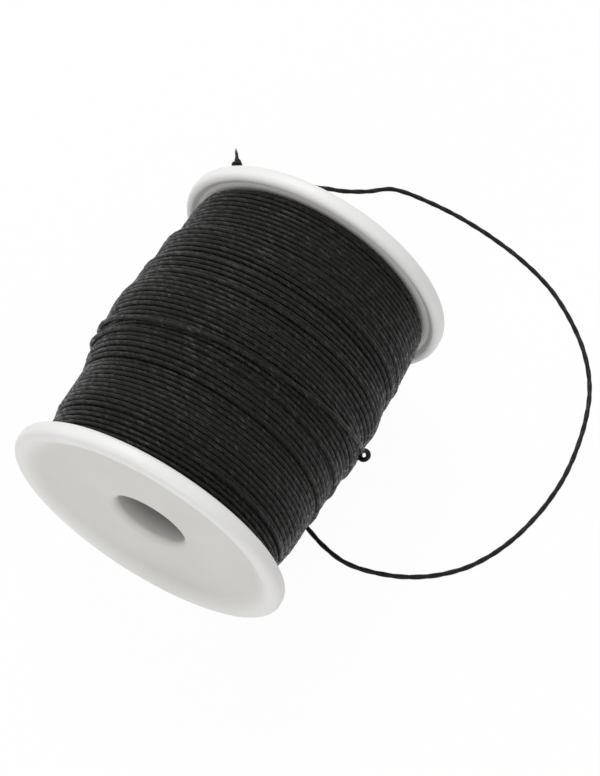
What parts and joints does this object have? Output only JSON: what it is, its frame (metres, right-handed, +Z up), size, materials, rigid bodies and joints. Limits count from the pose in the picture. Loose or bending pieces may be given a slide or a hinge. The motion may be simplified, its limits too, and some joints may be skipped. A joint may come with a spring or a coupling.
{
  "type": "waxed thread spool",
  "caption": "Plastic spool with rounded, dished flanges, wound full of black waxed thread whose free end lies beside it in a wide loop and ends in a knot.",
  "frame": {"origin": "on the standing surface, under the middle of the spool as it lies on its side", "axes": "+Y along the spool's level axis from the near flange to the far one, +Z up, +X to the side on which the free end lies"},
  "size_m": [0.1044, 0.1109, 0.0599],
  "materials": {
    "white_plastic": "satin moulded, slightly translucent off-white",
    "barrel_plastic": "plain extruded tube",
    "tape_film": "thin clear film",
    "waxed_thread": "twisted thread with a dull wax sheen"
  },
  "bodies": {
    "root": {"near_flange": "white_plastic", "far_flange": "white_plastic", "barrel": "barrel_plastic", "start_tape": "tape_film", "thread_package": "waxed_thread", "crossing_strand": "waxed_thread", "slack_loop": "waxed_thread", "thread_tail": "waxed_thread", "end_knot": "waxed_thread"}
  },
  "joints": []
}
